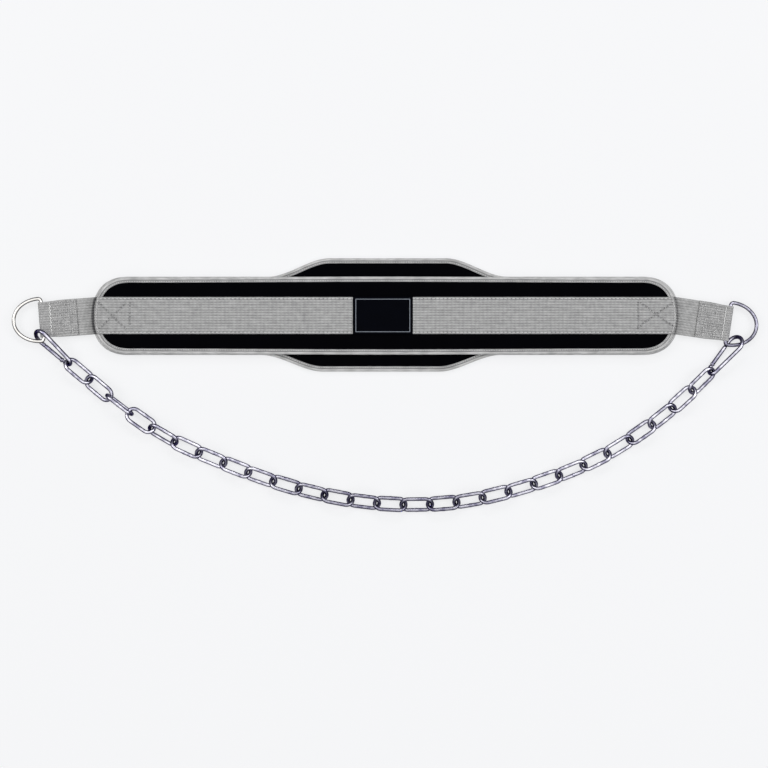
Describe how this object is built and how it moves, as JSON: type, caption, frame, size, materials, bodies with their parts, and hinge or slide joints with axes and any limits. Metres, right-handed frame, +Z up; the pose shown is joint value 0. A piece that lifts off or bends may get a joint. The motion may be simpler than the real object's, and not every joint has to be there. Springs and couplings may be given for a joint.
{
  "type": "dip belt",
  "caption": "Padded waist belt with grey webbing and binding, whose tails hold D-rings that a steel chain clips onto with snap hooks, to carry added weight in dips and pull-ups.",
  "frame": {"origin": "on the ground under the middle of the whole belt, chain and rings included", "axes": "+X along the belt towards the right ring, +Z up through the labelled face, +Y from the chain towards the belt"},
  "size_m": [1.0092, 0.3436, 0.0246],
  "materials": {
    "cover_fabric": "matt woven cover over foam",
    "binding_tape": "ribbed woven tape",
    "webbing": "ribbed heavy webbing with stitching",
    "label_satin": "smooth woven label",
    "ring_chrome": "polished plating",
    "hook_steel": "bright zinc plating",
    "chain_steel": "bright zinc plating"
  },
  "bodies": {
    "belt": {"back_panel": "cover_fabric", "back_binding": "binding_tape", "front_panel": "cover_fabric", "front_binding": "binding_tape", "front_webbing": "webbing", "label": "label_satin", "tail_left": "webbing", "tail_right": "webbing", "d_ring_left": "ring_chrome", "d_ring_right": "ring_chrome", "hook_left": "hook_steel", "hook_right": "hook_steel", "rivet_left": "hook_steel", "rivet_right": "hook_steel", "link_01": "chain_steel", "link_02": "chain_steel", "link_03": "chain_steel", "link_04": "chain_steel", "link_05": "chain_steel", "link_06": "chain_steel", "link_07": "chain_steel", "link_08": "chain_steel", "link_09": "chain_steel", "link_10": "chain_steel", "link_11": "chain_steel", "link_12": "chain_steel", "link_13": "chain_steel", "link_14": "chain_steel", "link_15": "chain_steel", "link_16": "chain_steel", "link_17": "chain_steel", "link_18": "chain_steel", "link_19": "chain_steel", "link_20": "chain_steel", "link_21": "chain_steel", "link_22": "chain_steel", "link_23": "chain_steel", "link_24": "chain_steel", "link_25": "chain_steel", "link_26": "chain_steel", "link_27": "chain_steel"},
    "left_gate": {"gate_left": "hook_steel"},
    "right_gate": {"gate_right": "hook_steel"}
  },
  "joints": [
    {"name": "left_gate_hinge", "type": "hinge", "parent": "belt", "child": "left_gate", "pos_m": [-0.43726, 0.03388, 0.00401], "axis": [0.5402, 0.617, -0.5724], "range_deg": [0, 30], "stiffness_Nm_per_rad": 0.08, "springref_deg": -14.32},
    {"name": "right_gate_hinge", "type": "hinge", "parent": "belt", "child": "right_gate", "pos_m": [0.44326, 0.0283, 0.00433], "axis": [0.6061, -0.47, -0.6417], "range_deg": [0, 30], "stiffness_Nm_per_rad": 0.08, "springref_deg": -14.32}
  ]
}
